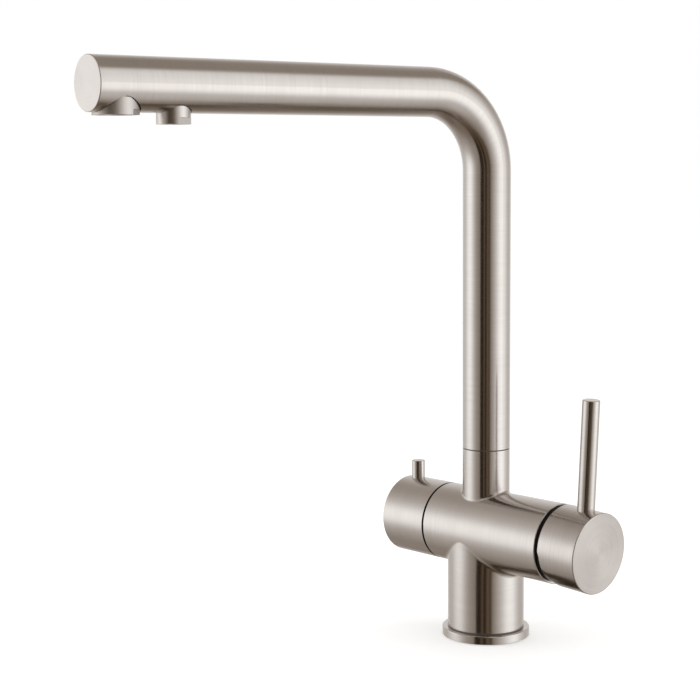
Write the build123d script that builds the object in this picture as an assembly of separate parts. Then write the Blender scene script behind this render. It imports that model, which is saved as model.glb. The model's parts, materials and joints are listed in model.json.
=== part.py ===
from build123d import *
import math
import os

os.makedirs("parts", exist_ok=True)

# Millimetres, +Z up. The origin is the centre of the base ring's underside, on the column's axis.
# The barrel lies along X with the mixer knob at +X, and the spout points to -Y, swung a little.

# Main arrangement
BARREL_HEIGHT = 64.0  # barrel axis above the deck
PARTING_HEIGHT = 113.0  # joint on which the spout turns
SPOUT_HEIGHT = 321.0  # axis of the spout's level run
SPOUT_REACH = 258.0  # column axis to the spout's end face
SPOUT_SWING = -6.5  # degrees about +Z from straight ahead, at rest
LEVER_LEAN = 2.7  # degrees the closed mixer handle leans outward
LEVER_TRAVEL = 15.5  # degrees the handle tilts from closed to open

# Fits between pieces
PRESS_GAP = 0.05  # radial gap of pressed, screwed and brazed seats
RUN_GAP = 0.08  # radial gap of turning fits
FACE_GAP = 0.05  # gap between faces that slide or stop on each other
FREE_GAP = 0.4  # air between pieces that must not touch

# Base
RING_D = 52.0
RING_HEIGHT = 4.8
RING_EDGE = 0.6  # rounding of the ring's rim
RING_SEAT = 2.0  # depth the column stands in the ring
RING_BORE_D = 37.0  # opening for the hoses
GASKET_WIDTH = 3.0
GASKET_DEPTH = 1.4
RING_SEAL_HEIGHT = 0.7  # seal that shows as a dark line above the ring
RING_SEAL_DEPTH = 0.8  # its groove in the column
RING_SEAL_RECESS = 0.1  # how far the seal stays inside the column's surface
STUD_R = 3.4  # tapping hole for the fixing stud
STUD_DEPTH = 20.0
INLET_R = 4.5  # tapping holes for the hose tails
INLET_DEPTH = 12.0
INLET_CIRCLE_R = 12.0
INLET_ANGLES = (60, 180, 300)  # hot, filtered, cold

# Casting
COLUMN_INSET = 0.55  # how much slimmer the column is than the barrel, on the radius
COLUMN_BLEND = 3.0
BARREL_D = 46.5  # both knobs have the same diameter
BARREL_RIGHT = 57.0
BARREL_LEFT = 30.0
BARREL_EDGE = 0.4
BARREL_WALL = 3.2  # around the cartridge nut's thread
NECK_BLEND = 2.0
JOINT_MARGIN = 0.5  # brazed joints of the column and the neck beyond the blends
WATERWAY_R = 3.0
FILTER_WAY_R = 2.25  # sloping way from the filter valve to the feed tube
PORT_OFFSET = 7.5  # cartridge ports to the barrel axis, in Y and in Z
MIX_RISER_X = 7.5  # riser from the cartridge's outlet to the neck

# Spout swivel
GLIDE_THICK = 0.7
GLIDE_RECESS = 0.5  # how far the glide ring stays inside the tube's surface
SPIGOT_R = 10.4
SPIGOT_THREAD_LENGTH = 16.0
SPIGOT_THREAD_STEP = 0.6  # thread over the spigot, on the radius
SPIGOT_LENGTH = 35.0  # above the neck
SPIGOT_BORE_R = 6.6
ORING_HEIGHTS = (10.0, 19.0)  # above the neck
ORING_DEPTH = 1.6
ORING_ROOM = 0.3  # extra width of a ring groove
SNAP_HEIGHT = 28.0  # snap ring above the neck
SNAP_THICK = 1.6
SNAP_WIDTH = 2.2
SNAP_OPENING = 40.0  # degrees cut out of the snap ring
FEED_R = 3.0
FEED_WALL = 0.8
FEED_DEPTH = 5.0  # seat of the feed tube below the neck chamber
FEED_RISE = 12.0  # above the spigot
NECK_CHAMBER_R = 8.0
NECK_CHAMBER_DEPTH = 10.0

# Spout
TUBE_D = 28.0  # spout and neck
TUBE_WALL = 1.2
BEND_RADIUS = 44.5
CAP_THICK = 1.5
CAP_LIP = 0.8
CAP_EDGE = 0.5
FOOT_EXTRA = 2.0  # foot above the spigot

# Outer outlet, for mixed water
AERATOR_INSET = 15.2  # from the spout's end face
AERATOR_HOLE_R = 12.5
AERATOR_R = 11.8
AERATOR_DROP = 1.2  # below the tube
AERATOR_FLATS = 22.0
AERATOR_FLATS_HEIGHT = 2.7
AERATOR_TURN = 39.5  # degrees from the spout's side to the flats
AERATOR_NIPPLE_R = 10.5
AERATOR_BORE_R = 8.4
AERATOR_SEAT_R = 13.2
AERATOR_RIM = 1.6  # of the insert, around its cells

# Inner outlet, for filtered water
OUTLET_PITCH = 32.8  # between the two outlets
NOZZLE_HOLE_R = 9.3
NOZZLE_R = 8.8
NOZZLE_DROP = 5.5
NOZZLE_FLATS = 14.5
NOZZLE_FLATS_HEIGHT = 3.3
NOZZLE_TURN = 22.5
NOZZLE_NIPPLE_R = 6.4
NOZZLE_BORE_R = 4.4
NOZZLE_SEAT_R = 11.6
NOZZLE_RIM = 1.4
NOZZLE_SEAT_STEP = 1.2  # this seat below the outer outlet's
ELBOW_ROOF = 2.0  # above the elbow's chamber

# Both outlets
OUTLET_LIP = 0.7  # rim that holds the insert
INSERT_THICK = 2.2
WASHER_THICK = 1.0
SEAT_THICK = 3.0
SEAT_DROP = 6.3  # underside of the outer seat's disc below the spout's axis
CELL_R = 1.0  # cells of the straightening inserts
CELL_WALL = 0.5

# Filtered-water hose
HOSE_R = 4.0
BARB_R = 2.9
BARB_BORE_R = 1.9
BARB_LENGTH = 12.0
SOCKET_R = 5.2
SOCKET_LENGTH = 9.0
SOCKET_ROOF = 2.0
FERRULE_WALL = 0.6
FERRULE_LENGTH = 6.5
FERRULE_INSET = 1.0  # from the hose's lower end

# Mixing cartridge, from the barrel's end inward
NUT_LENGTH = 7.0
NUT_COLLAR = 2.0
NUT_LEDGE = 2.2  # cartridge shoulder under the nut
CARTRIDGE_LIP = 2.0
CARTRIDGE_WALL = 2.8
CARTRIDGE_FLOOR = 1.6
CARTRIDGE_NECK_WALL = 1.8
CARTRIDGE_NECK_RISE = 2.0  # beyond the barrel's end
GUIDE_FLANGE = 3.3
GUIDE_R = 12.4
GUIDE_RISE = 3.5  # beyond the tilt axis
DRIVER_LENGTH = 5.0
DISC_THICK = 3.6
DISC_ROOM = 0.8
DISC_POCKET_R = 6.4
SEAL_THICK = 1.0
SEAL_WIDTH = 1.2
PIVOT_OUT = 4.0  # tilt axis beyond the barrel's end
PIVOT_PIN_R = 1.5
PIVOT_PIN_INSET = 1.0  # pin's ends inside the guide's surface
BALL_R = 2.4
BALL_PLAY = 0.25
SHANK_R = 3.0
SHANK_NECK_R = 1.8
SHANK_STEP = 2.0  # thin neck beyond the driver
SPINDLE_SIDE = 8.0

# Mixer knob and lever
MIXER_LENGTH = 28.0  # barrel's end to the knob's face
MIXER_GAP = 2.5
KNOB_EDGE = 0.6
KNOB_LIP = 0.7  # thinnest wall, around the bonnet
BONNET_GAP = 0.3
BONNET_WALL = 1.2
BONNET_FLANGE = 1.4
BONNET_RISE = 7.0  # beyond the tilt axis
SLOT_WIDTH = 2.4  # dark slot between the barrel and the bonnet
SLOT_DEPTH = 0.5  # below the bonnet's round surface
KNOB_FLOOR_GAP = 1.0
KNOB_FRONT = 1.5  # wall in front of the spindle
LEVER_D = 10.0
LEVER_TOP = 86.2  # above the barrel axis
LEVER_INSET = 10.6  # from the knob's face
LEVER_ROOT = 12.0  # lower end of the lever, above the barrel axis
LEVER_STUB_R = 3.0
LEVER_STUB = 4.0
LEVER_EDGE = 0.5
GRUB_R = 2.5
GRUB_LENGTH = 8.0
GRUB_INSET = 4.5  # from the knob's face
HEX_KEY_R = 1.4

# Filter valve, from the barrel's left end
VALVE_R = 10.0
VALVE_DEPTH = 14.0
VALVE_HEX = 20.0  # across flats
VALVE_HEX_HEIGHT = 5.0
VALVE_NECK_R = 7.5
VALVE_NECK_LENGTH = 8.0
VALVE_CAVITY_R = 8.2
VALVE_SPINDLE_R = 4.9
VALVE_HEAD = 2.0
VALVE_DISC = 2.3
VALVE_SEAL = 1.0
VALVE_PLENUM_R = 5.0
VALVE_PLENUM = 8.0
VALVE_WINDOW_R = 1.4
VALVE_GROOVE_R = 11.2
VALVE_GROOVE_WIDTH = 4.0
VALVE_PORT_INSET = 0.5  # of the discs' openings from the axis
SPLINE_R = 4.0
SPLINE_LENGTH = 10.0
CIRCLIP_THICK = 0.8
CIRCLIP_WIDTH = 2.0
CIRCLIP_OPENING = 50.0

# Filter knob and pin
FILTER_LENGTH = 34.5  # barrel's end to the knob's face
FILTER_GAP = 1.2
FILTER_WALL = 3.0
FILTER_GLIDE_WIDTH = 7.5
PIN_D = 8.0
PIN_TOP = 34.0  # above the barrel axis
PIN_INSET = 8.1
PIN_ROOT = 9.0
PIN_EDGE = 0.4
FILTER_GRUB_INSET = 13.5

# Values worked out from the sizes above
tube_r = TUBE_D / 2
bore_r = tube_r - TUBE_WALL
barrel_r = BARREL_D / 2
column_r = barrel_r - COLUMN_INSET
column_bottom = RING_HEIGHT - RING_SEAT
column_top = BARREL_HEIGHT - barrel_r - COLUMN_BLEND - JOINT_MARGIN
neck_bottom = BARREL_HEIGHT + barrel_r + NECK_BLEND + JOINT_MARGIN
ring_seal_r = column_r - RING_SEAL_DEPTH
ring_seal_top = RING_HEIGHT + RING_SEAL_HEIGHT
neck_top = PARTING_HEIGHT - GLIDE_THICK / 2
spout_bottom = PARTING_HEIGHT + GLIDE_THICK / 2 + FACE_GAP
tube_bottom = SPOUT_HEIGHT - tube_r
full_tilt = LEVER_LEAN + LEVER_TRAVEL


def rod_z(radius, low, high, x=0.0, y=0.0):
    """Upright cylinder between two heights."""
    return Pos(x, y, (low + high) / 2) * Cylinder(radius, high - low)


def ring_z(outer, inner, low, high, x=0.0, y=0.0):
    """Upright ring between two heights."""
    return rod_z(outer, low, high, x, y) - rod_z(inner, low - 1, high + 1, x, y)


def rod_x(radius, start, end, y=0.0, z=BARREL_HEIGHT):
    """Cylinder along X, on the barrel's axis unless placed."""
    return Pos((start + end) / 2, y, z) * Rot(0, 90, 0) * Cylinder(radius, abs(end - start))


def ring_x(outer, inner, start, end, y=0.0, z=BARREL_HEIGHT):
    """Ring along X, on the barrel's axis unless placed."""
    low, high = min(start, end), max(start, end)
    return rod_x(outer, low, high, y, z) - rod_x(inner, low - 1, high + 1, y, z)


def bar_x(side_y, side_z, start, end):
    """Rectangular bar along the barrel's axis."""
    return Pos((start + end) / 2, 0, BARREL_HEIGHT) * Box(end - start, side_y, side_z)


def hexagon_x(flats, start, end):
    """Hexagonal bar along the barrel's axis."""
    sketch = Plane.YZ.offset(start) * Pos(0, BARREL_HEIGHT) * RegularPolygon(flats / 2, 6, major_radius=False)
    return extrude(sketch, end - start)


def oring(groove_r, seat_r):
    """Rubber ring as it lies squeezed between a groove's floor and its seat."""
    section = (seat_r - groove_r) / 2 - FACE_GAP / 2
    return Torus((seat_r + groove_r) / 2, section)


def opened(ring, degrees, reach, thickness):
    """A ring with a slot cut out at +X, as on a snap ring."""
    width = 2 * reach * math.sin(math.radians(degrees / 2))
    return ring - Pos(reach, 0, 0) * Box(2 * reach, width, 2 * thickness)


def honeycomb(radius, height, rim):
    """Disc with straight hexagonal cells, centred on the origin."""
    disc = Cylinder(radius, height)
    pitch = 2 * CELL_R * math.cos(math.pi / 6) + CELL_WALL
    reach = int(radius / pitch) + 1
    cells = []
    for row in range(-reach, reach + 1):
        for column in range(-reach, reach + 1):
            x = pitch * (column + row / 2)
            y = pitch * row * math.sqrt(3) / 2
            if math.hypot(x, y) < radius - rim - CELL_R:
                cells.append(Pos(x, y) * Rot(0, 0, 30) * RegularPolygon(CELL_R, 6))
    return disc - extrude(Sketch() + cells, height, both=True)


def grub(length):
    """Set screw along Z from 0 downward, with its key socket at the lower end."""
    socket = extrude(RegularPolygon(HEX_KEY_R, 6), length / 3)
    return rod_z(GRUB_R, -length, 0) - Pos(0, 0, -length) * socket


# Base ring and gasket

def make_base():
    gasket_mid = (RING_D + RING_BORE_D) / 4
    outer = gasket_mid + GASKET_WIDTH / 2
    inner = gasket_mid - GASKET_WIDTH / 2
    ring = rod_z(RING_D / 2, 0, RING_HEIGHT)
    rim = ring.edges().filter_by(GeomType.CIRCLE).group_by(Axis.Z)[-1]
    ring = fillet(rim, RING_EDGE)
    ring -= rod_z(RING_BORE_D / 2, -1, RING_HEIGHT + 1)
    ring -= rod_z(column_r + PRESS_GAP, column_bottom, RING_HEIGHT + 1)
    ring -= ring_z(outer + PRESS_GAP, inner - PRESS_GAP, 0, GASKET_DEPTH)
    gasket = ring_z(outer, inner, 0, GASKET_DEPTH)
    seal_inner = ring_seal_r + PRESS_GAP
    seal = ring_z(column_r - RING_SEAL_RECESS, seal_inner, RING_HEIGHT, ring_seal_top)
    return {"base_ring": ring, "base_gasket": gasket, "ring_seal": seal}


# Mixing cartridge: places along X, from the barrel's end inward
pivot_x = BARREL_RIGHT + PIVOT_OUT
nut_r = barrel_r - BARREL_WALL - PRESS_GAP
cartridge_r = nut_r - NUT_LEDGE
cavity_r = cartridge_r - CARTRIDGE_WALL
shoulder_x = BARREL_RIGHT - NUT_LENGTH
lip_x = shoulder_x - CARTRIDGE_LIP
flange_x1 = lip_x - FACE_GAP
flange_x0 = flange_x1 - GUIDE_FLANGE
driver_x1 = flange_x0 - FREE_GAP
driver_x0 = driver_x1 - DRIVER_LENGTH
moving_x0 = driver_x0 - DISC_THICK
fixed_x1 = moving_x0 - FACE_GAP
fixed_x0 = fixed_x1 - DISC_THICK
cartridge_x0 = fixed_x0 - CARTRIDGE_FLOOR
chamber_x = cartridge_x0 - SEAL_THICK
ball_x = driver_x0 + BALL_R + FREE_GAP
ball_arm = pivot_x - ball_x
guide_bore_r = GUIDE_R + RUN_GAP
cartridge_neck_r = guide_bore_r + CARTRIDGE_NECK_WALL
pivot = Pos(pivot_x, 0, BARREL_HEIGHT)


def rise_at(degrees):
    """Height of the spindle's ball above the barrel axis at a lean of the handle."""
    return ball_arm * math.sin(math.radians(degrees))


disc_travel = rise_at(full_tilt) - rise_at(LEVER_LEAN)
disc_rest = -disc_travel / 2  # the moving disc starts below the axis and ends as far above it
moving_r = cavity_r - disc_travel / 2 - DISC_ROOM


def cartridge_ports(radius, start, end):
    """Holes for the two inlets above the axis and the outlet below it."""
    ports = rod_x(radius, start, end, 0, BARREL_HEIGHT - PORT_OFFSET)
    for y in (-PORT_OFFSET, PORT_OFFSET):
        ports += rod_x(radius, start, end, y, BARREL_HEIGHT + PORT_OFFSET)
    return ports


# Filter valve: distances from the column's axis, measured to the left
valve_floor = BARREL_LEFT - VALVE_DEPTH
valve_end = valve_floor + VALVE_SEAL
valve_moving = valve_end + VALVE_DISC + FACE_GAP
valve_head = valve_moving + VALVE_DISC
valve_step = valve_head + VALVE_HEAD + FACE_GAP
valve_hex_end = BARREL_LEFT + VALVE_HEX_HEIGHT
valve_neck_end = valve_hex_end + VALVE_NECK_LENGTH
circlip_v = valve_neck_end + FACE_GAP
spline_v = circlip_v + CIRCLIP_THICK + FREE_GAP
spline_end = spline_v + SPLINE_LENGTH
window_v = valve_moving + VALVE_DISC / 2


# Column, casting and neck, with their chambers and waterways
neck_bore_r = SPIGOT_R + PRESS_GAP + SPIGOT_THREAD_STEP
neck_bore_bottom = neck_top - SPIGOT_THREAD_LENGTH
neck_chamber = neck_bore_bottom - NECK_CHAMBER_DEPTH
feed_bottom = neck_chamber - FEED_DEPTH


def inlet_place(angle):
    """Place of one inlet on the base."""
    turn = math.radians(angle)
    return INLET_CIRCLE_R * math.cos(turn), INLET_CIRCLE_R * math.sin(turn)


def casting_outside():
    column = rod_z(column_r, column_bottom, BARREL_HEIGHT)
    barrel = rod_x(barrel_r, -BARREL_LEFT, BARREL_RIGHT)
    ends = barrel.edges().filter_by(GeomType.CIRCLE)
    barrel = fillet(ends, BARREL_EDGE)
    body = barrel + column
    seam = body.edges().filter_by(lambda edge: edge.geom_type not in (GeomType.LINE, GeomType.CIRCLE))
    body = fillet(seam, COLUMN_BLEND)
    body += rod_z(tube_r, BARREL_HEIGHT, neck_top)
    margin = NECK_BLEND / 4
    low = BARREL_HEIGHT + math.sqrt(barrel_r**2 - tube_r**2) - margin
    high = BARREL_HEIGHT + barrel_r + margin
    root = [
        edge
        for edge in body.edges()
        if low < edge.center().Z < high and edge.geom_type not in (GeomType.LINE, GeomType.CIRCLE)
    ]
    return fillet(root, NECK_BLEND)


def casting_hollows():
    hollows = rod_x(cartridge_r + PRESS_GAP, chamber_x, BARREL_RIGHT + 1)
    hollows += rod_x(nut_r + PRESS_GAP, shoulder_x - FREE_GAP, BARREL_RIGHT + 1)
    hollows += rod_x(VALVE_R + PRESS_GAP, -BARREL_LEFT - 1, -valve_floor)
    hollows += rod_x(VALVE_PLENUM_R, -valve_floor - 1, -valve_floor + VALVE_PLENUM)
    hollows += rod_x(VALVE_GROOVE_R, -window_v - VALVE_GROOVE_WIDTH / 2, -window_v + VALVE_GROOVE_WIDTH / 2)
    hollows += rod_z(neck_bore_r, neck_bore_bottom, neck_top + 1)
    hollows += rod_z(NECK_CHAMBER_R, neck_chamber, neck_top)
    hollows += rod_z(FEED_R + PRESS_GAP, feed_bottom, neck_chamber + 1)
    hollows += rod_z(STUD_R, column_bottom - 1, column_bottom + STUD_DEPTH)
    hollows += ring_z(column_r + 1, ring_seal_r, RING_HEIGHT, ring_seal_top)
    return hollows


def casting_waterways():
    port_high = BARREL_HEIGHT + PORT_OFFSET
    port_low = BARREL_HEIGHT - PORT_OFFSET
    ways = rod_x(WATERWAY_R, MIX_RISER_X, chamber_x + 1, 0, port_low)
    ways += rod_z(WATERWAY_R, port_low, neck_chamber + 1, MIX_RISER_X)
    for angle in INLET_ANGLES:
        x, y = inlet_place(angle)
        ways += rod_z(INLET_R, column_bottom - 1, column_bottom + INLET_DEPTH, x, y)
        if x > 0:
            ways += rod_z(WATERWAY_R, column_bottom + 1, port_high, x, y)
            ways += rod_x(WATERWAY_R, x, chamber_x + 1, math.copysign(PORT_OFFSET, y), port_high)
        else:
            ways += rod_z(WATERWAY_R, column_bottom + 1, BARREL_HEIGHT, x, y)
    start = Vector(-window_v, 0, BARREL_HEIGHT + VALVE_R)
    end = Vector(0, 0, feed_bottom + WATERWAY_R / 2)
    slope = Plane(start, z_dir=end - start)
    length = (end - start).length
    ways += slope * Pos(0, 0, length / 2) * Cylinder(FILTER_WAY_R, length)
    return ways


def make_casting():
    """Barrel with its blends, and the turned column and neck that are brazed to it flush."""
    body = casting_outside() - casting_hollows() - casting_waterways()
    lower = rod_z(2 * barrel_r, column_bottom, column_top)
    upper = rod_z(2 * barrel_r, neck_bottom, neck_top)
    return {"inlet_column": body & lower, "body_casting": body - lower - upper, "swivel_neck": body & upper}


# Swivel between the neck and the spout
spigot_top = neck_top + SPIGOT_LENGTH
foot_bore_r = SPIGOT_R + RUN_GAP
snap_low = neck_top + SNAP_HEIGHT
snap_inner = SPIGOT_R - SNAP_WIDTH / 2
snap_outer = SPIGOT_R + SNAP_WIDTH / 2
oring_groove_r = SPIGOT_R - ORING_DEPTH
feed_top = spigot_top + FEED_RISE


def make_swivel():
    spigot = rod_z(neck_bore_r - PRESS_GAP, neck_bore_bottom + FACE_GAP, neck_top)
    spigot += rod_z(SPIGOT_R, neck_top, spigot_top)
    spigot -= rod_z(SPIGOT_BORE_R, neck_bore_bottom - 1, spigot_top + 1)
    section = (foot_bore_r - oring_groove_r) / 2
    rings = []
    for height in ORING_HEIGHTS:
        middle = neck_top + height
        width = section + ORING_ROOM
        spigot -= ring_z(SPIGOT_R + 1, oring_groove_r, middle - width, middle + width)
        rings.append(Pos(0, 0, middle) * oring(oring_groove_r, foot_bore_r))
    snap_high = snap_low + SNAP_THICK
    spigot -= ring_z(SPIGOT_R + 1, snap_inner - PRESS_GAP, snap_low - FACE_GAP, snap_high + FACE_GAP)
    snap = ring_z(snap_outer, snap_inner, snap_low, snap_high)
    snap = opened(snap, SNAP_OPENING, snap_outer, 2 * snap_high)
    glide = ring_z(tube_r - GLIDE_RECESS, SPIGOT_R + PRESS_GAP, neck_top, neck_top + GLIDE_THICK)
    feed = ring_z(FEED_R, FEED_R - FEED_WALL, feed_bottom + WATERWAY_R, feed_top)
    return {
        "spout_spigot": spigot,
        "spigot_orings": Compound(children=rings),
        "snap_ring": snap,
        "glide_ring": glide,
        "feed_tube": feed,
    }


# Spout, built pointing straight to -Y and swung afterwards
socket_low = feed_top - SOCKET_LENGTH + FREE_GAP
socket_high = socket_low + SOCKET_LENGTH + SOCKET_ROOF
seat_low = SPOUT_HEIGHT - SEAT_DROP
nozzle_seat_low = seat_low - NOZZLE_SEAT_STEP
aerator_at = SPOUT_REACH - AERATOR_INSET
nozzle_at = aerator_at - OUTLET_PITCH
elbow_back = nozzle_at - NOZZLE_NIPPLE_R
level_end = SPOUT_REACH - CAP_THICK
hose_start = socket_high + FACE_GAP
hose_end = elbow_back - FACE_GAP
ferrule_end = nozzle_at - NOZZLE_SEAT_R - FREE_GAP


def spout_path(low, reach):
    """Centre line: up, round the bend and level to -Y."""
    return FilletPolyline((0, 0, low), (0, 0, SPOUT_HEIGHT), (0, -reach, SPOUT_HEIGHT), radius=BEND_RADIUS)


def bent_pipe(outer, inner, low, reach):
    """Pipe along the spout's centre line."""
    path = spout_path(low, reach)
    start = Plane((0, 0, low), z_dir=(0, 0, 1))
    return sweep(start * (Circle(outer) - Circle(inner)), path)


def rod_y(radius, start, end, z=SPOUT_HEIGHT):
    """Cylinder along the spout's level run, between two distances from the column's axis."""
    return Pos(0, -(start + end) / 2, z) * Rot(90, 0, 0) * Cylinder(radius, end - start)


def make_spout_shell():
    tube = bent_pipe(tube_r, bore_r, spout_bottom, level_end)
    tube -= rod_z(AERATOR_HOLE_R, tube_bottom - 1, SPOUT_HEIGHT, 0, -aerator_at)
    tube -= rod_z(NOZZLE_HOLE_R, tube_bottom - 1, SPOUT_HEIGHT, 0, -nozzle_at)
    cap = rod_y(tube_r, level_end, SPOUT_REACH)
    rim = cap.edges().filter_by(GeomType.CIRCLE).group_by(Axis.Y)[0]
    cap = fillet(rim, CAP_EDGE)
    cap += rod_y(bore_r - PRESS_GAP, level_end - CAP_LIP, level_end)
    foot_top = spigot_top + FOOT_EXTRA
    foot = ring_z(bore_r - PRESS_GAP, foot_bore_r, spout_bottom, foot_top)
    groove_low = snap_low - FREE_GAP
    groove_high = snap_low + SNAP_THICK + FREE_GAP
    foot -= rod_z(snap_outer + FREE_GAP, groove_low, groove_high)
    return {"spout_tube": tube, "spout_end_cap": cap, "spout_foot": foot}


def outlet_seat(distance, disc_r, disc_low, nipple_r, nipple_low, nipple_top):
    """Disc brazed across the spout's bore, with an upright threaded nipple through it."""
    disc = rod_z(disc_r, disc_low, disc_low + SEAT_THICK, 0, -distance)
    disc &= rod_y(bore_r - PRESS_GAP, 0, level_end - CAP_LIP - FREE_GAP)
    return disc + rod_z(nipple_r, nipple_low, nipple_top, 0, -distance)


def outlet_housing(distance, radius, bottom, top, nipple_r, passage_r, flats, flats_height, turn):
    """Screwed cap with a rim below, and two flats for a spanner."""
    shelf = bottom + OUTLET_LIP
    cap = ring_z(radius, passage_r, bottom, top, 0, -distance)
    cap -= rod_z(nipple_r + PRESS_GAP, shelf, top + 1, 0, -distance)
    side = 2 * radius
    for turned in (turn, turn + 180):
        offset = Pos(flats / 2 + side / 2, 0, flats_height / 2 - 0.5)
        cutter = offset * Box(side, side, flats_height + 1)
        cap -= Pos(0, -distance, bottom) * Rot(0, 0, turned) * cutter
    return cap


def outlet_levels(drop):
    """Heights of an outlet's bottom, insert, washer and nipple end."""
    bottom = tube_bottom - drop
    insert = bottom + OUTLET_LIP + FACE_GAP
    washer = insert + INSERT_THICK
    return bottom, insert, washer, washer + WASHER_THICK


def make_aerator():
    bottom, insert_low, washer_low, nipple_low = outlet_levels(AERATOR_DROP)
    seat_top = seat_low + SEAT_THICK
    seat = outlet_seat(aerator_at, AERATOR_SEAT_R, seat_low, AERATOR_NIPPLE_R, nipple_low, seat_top)
    seat -= rod_z(AERATOR_BORE_R, nipple_low - 1, seat_top + 1, 0, -aerator_at)
    top = seat_low - FREE_GAP
    housing = outlet_housing(
        aerator_at,
        AERATOR_R,
        bottom,
        top,
        AERATOR_NIPPLE_R,
        AERATOR_BORE_R,
        AERATOR_FLATS,
        AERATOR_FLATS_HEIGHT,
        AERATOR_TURN,
    )
    middle = insert_low + INSERT_THICK / 2
    insert = Pos(0, -aerator_at, middle) * honeycomb(AERATOR_NIPPLE_R - PRESS_GAP, INSERT_THICK, AERATOR_RIM)
    washer = ring_z(AERATOR_NIPPLE_R - PRESS_GAP, AERATOR_BORE_R, washer_low, nipple_low, 0, -aerator_at)
    return {
        "aerator_seat": seat,
        "aerator_housing": housing,
        "aerator_insert": insert,
        "aerator_washer": washer,
    }


def make_nozzle():
    bottom, insert_low, washer_low, nipple_low = outlet_levels(NOZZLE_DROP)
    chamber_top = SPOUT_HEIGHT + BARB_R
    elbow_top = chamber_top + ELBOW_ROOF
    elbow = outlet_seat(nozzle_at, NOZZLE_SEAT_R, nozzle_seat_low, NOZZLE_NIPPLE_R, nipple_low, elbow_top)
    elbow += rod_y(BARB_R, elbow_back - BARB_LENGTH, nozzle_at)
    elbow -= rod_z(NOZZLE_BORE_R, nipple_low - 1, chamber_top, 0, -nozzle_at)
    elbow -= rod_y(BARB_BORE_R, elbow_back - BARB_LENGTH - 1, nozzle_at)
    housing = outlet_housing(
        nozzle_at,
        NOZZLE_R,
        bottom,
        nozzle_seat_low - FREE_GAP,
        NOZZLE_NIPPLE_R,
        NOZZLE_BORE_R,
        NOZZLE_FLATS,
        NOZZLE_FLATS_HEIGHT,
        NOZZLE_TURN,
    )
    middle = insert_low + INSERT_THICK / 2
    insert = Pos(0, -nozzle_at, middle) * honeycomb(NOZZLE_NIPPLE_R - PRESS_GAP, INSERT_THICK, NOZZLE_RIM)
    washer = ring_z(NOZZLE_NIPPLE_R - PRESS_GAP, NOZZLE_BORE_R, washer_low, nipple_low, 0, -nozzle_at)
    return {
        "nozzle_elbow": elbow,
        "nozzle_housing": housing,
        "nozzle_insert": insert,
        "nozzle_washer": washer,
    }


def make_hose():
    """Filtered-water hose through the spout, on a socket that turns on the feed tube."""
    socket = rod_z(SOCKET_R, socket_low, socket_high)
    socket += rod_z(BARB_R, socket_high, socket_high + BARB_LENGTH)
    socket -= rod_z(FEED_R + RUN_GAP, socket_low - 1, feed_top + FREE_GAP)
    socket -= rod_z(BARB_BORE_R, feed_top, socket_high + BARB_LENGTH + 1)
    ring_height = socket_low + SOCKET_LENGTH / 2
    groove_r = FEED_R + ORING_DEPTH
    half = ORING_DEPTH / 2 + ORING_ROOM
    socket -= rod_z(groove_r, ring_height - half, ring_height + half)
    ring = Pos(0, 0, ring_height) * oring(FEED_R, groove_r)
    hose = bent_pipe(HOSE_R, BARB_R + PRESS_GAP, hose_start, hose_end)
    inner = HOSE_R + PRESS_GAP
    outer = inner + FERRULE_WALL
    low = hose_start + FERRULE_INSET
    lower = ring_z(outer, inner, low, low + FERRULE_LENGTH)
    upper = rod_y(outer, ferrule_end - FERRULE_LENGTH, ferrule_end)
    upper -= rod_y(inner, ferrule_end - FERRULE_LENGTH - 1, ferrule_end + 1)
    return {
        "hose_socket": socket,
        "feed_oring": ring,
        "filter_hose": hose,
        "hose_ferrules": Compound(children=[lower, upper]),
    }


# Mixing cartridge

def make_cartridge():
    body = rod_x(cartridge_r, cartridge_x0, shoulder_x)
    body += rod_x(cartridge_neck_r, shoulder_x, BARREL_RIGHT + CARTRIDGE_NECK_RISE)
    body -= rod_x(cavity_r, fixed_x0 - FACE_GAP, lip_x)
    body -= rod_x(guide_bore_r, lip_x - 1, BARREL_RIGHT + CARTRIDGE_NECK_RISE + 1)
    body -= cartridge_ports(WATERWAY_R, cartridge_x0 - 1, fixed_x0 + 1)
    fixed = rod_x(cavity_r - PRESS_GAP, fixed_x0, fixed_x1)
    fixed -= cartridge_ports(WATERWAY_R, fixed_x0 - 1, fixed_x1 + 1)
    seals = []
    for y, z in ((0, -PORT_OFFSET), (PORT_OFFSET, PORT_OFFSET), (-PORT_OFFSET, PORT_OFFSET)):
        inner = WATERWAY_R + FACE_GAP
        seals.append(ring_x(inner + SEAL_WIDTH, inner, chamber_x, cartridge_x0, y, BARREL_HEIGHT + z))
    collar_x0 = BARREL_RIGHT + BONNET_FLANGE + FACE_GAP
    collar_r = math.sqrt((bonnet_r - BONNET_WALL) ** 2 - (pivot_x - collar_x0) ** 2) - FREE_GAP
    nut = rod_x(nut_r, shoulder_x + FACE_GAP, collar_x0)
    nut += rod_x(collar_r, collar_x0, collar_x0 + NUT_COLLAR)
    nut -= rod_x(cartridge_neck_r + PRESS_GAP, shoulder_x - 1, collar_x0 + NUT_COLLAR + 1)
    return {
        "cartridge_body": body,
        "cartridge_seals": Compound(children=seals),
        "fixed_disc": fixed,
        "cartridge_nut": nut,
    }


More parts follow.
